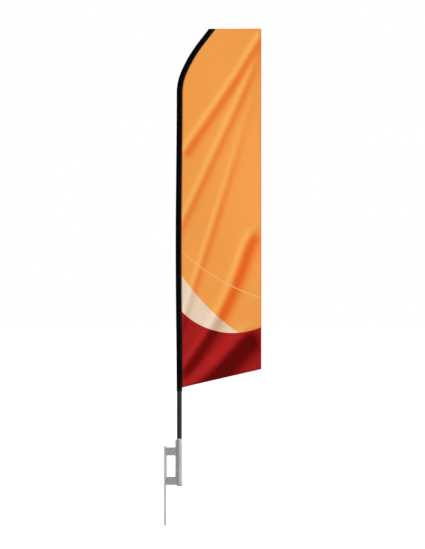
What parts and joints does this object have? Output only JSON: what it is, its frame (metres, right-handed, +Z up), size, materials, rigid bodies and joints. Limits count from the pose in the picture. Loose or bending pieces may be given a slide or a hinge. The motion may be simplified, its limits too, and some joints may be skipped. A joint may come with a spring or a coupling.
{
  "type": "feather flag with pole",
  "caption": "Tall printed cloth flag with a curved-shoulder pole sleeve on a sectional mast that turns in the socket tube of a push-in steel ground stake with steps.",
  "frame": {"origin": "on the mast's axis at the underside of the socket's end plug, which is ground level", "axes": "+Z up the mast, +X from the mast towards the flag's free edge, -Y towards the flag's printed front"},
  "size_m": [0.749, 0.0515, 3.827],
  "materials": {
    "zinc_steel": "dull galvanised",
    "folded_steel": "dull galvanised sheet, darker than the bar",
    "spine_steel": "warm grey galvanised",
    "tube_steel": "satin galvanised",
    "grey_nylon": "moulded, pale grey",
    "dark_nylon": "moulded, near black",
    "black_alloy": "satin black anodised",
    "fibreglass": "black pultruded glass fibre",
    "black_cloth": "black woven polyester",
    "webbing": "black hook-and-loop webbing",
    "flag_cloth": "knitted polyester, printed in orange, beige and dark red areas"
  },
  "bodies": {
    "ground_stake": {"spike_bar": "zinc_steel", "spike_backing_strip": "zinc_steel", "tube_spine_bar": "spine_steel", "lower_step": "folded_steel", "upper_step": "folded_steel", "socket_tube": "tube_steel", "socket_end_plug": "grey_nylon", "thrust_washer": "zinc_steel", "mouth_bush": "grey_nylon"},
    "swivel": {"swivel_cup": "grey_nylon"},
    "lower_mast": {"mast_foot_plug": "dark_nylon", "lower_mast_tube": "black_alloy"},
    "upper_mast": {"lower_stop_collar": "dark_nylon", "middle_mast_tube": "black_alloy", "upper_stop_collar": "dark_nylon", "upper_mast_tube": "black_alloy", "tip_ferrule": "dark_nylon", "flex_tip_rod": "fibreglass", "tip_cap": "dark_nylon", "pole_sleeve": "black_cloth", "flag_panel": "flag_cloth", "cinch_strap": "webbing"}
  },
  "joints": [
    {"name": "socket_turn", "type": "hinge", "parent": "ground_stake", "child": "swivel", "pos_m": [0, 0, 0], "axis": [0, 0, 1], "continuous": true},
    {"name": "mast_lift", "type": "slide", "parent": "swivel", "child": "lower_mast", "axis": [0, 0, 1], "range_m": [0, 0.35]},
    {"name": "mast_section_pull", "type": "slide", "parent": "lower_mast", "child": "upper_mast", "axis": [-0.0089, 0, 1], "range_m": [0, 0.13]}
  ]
}
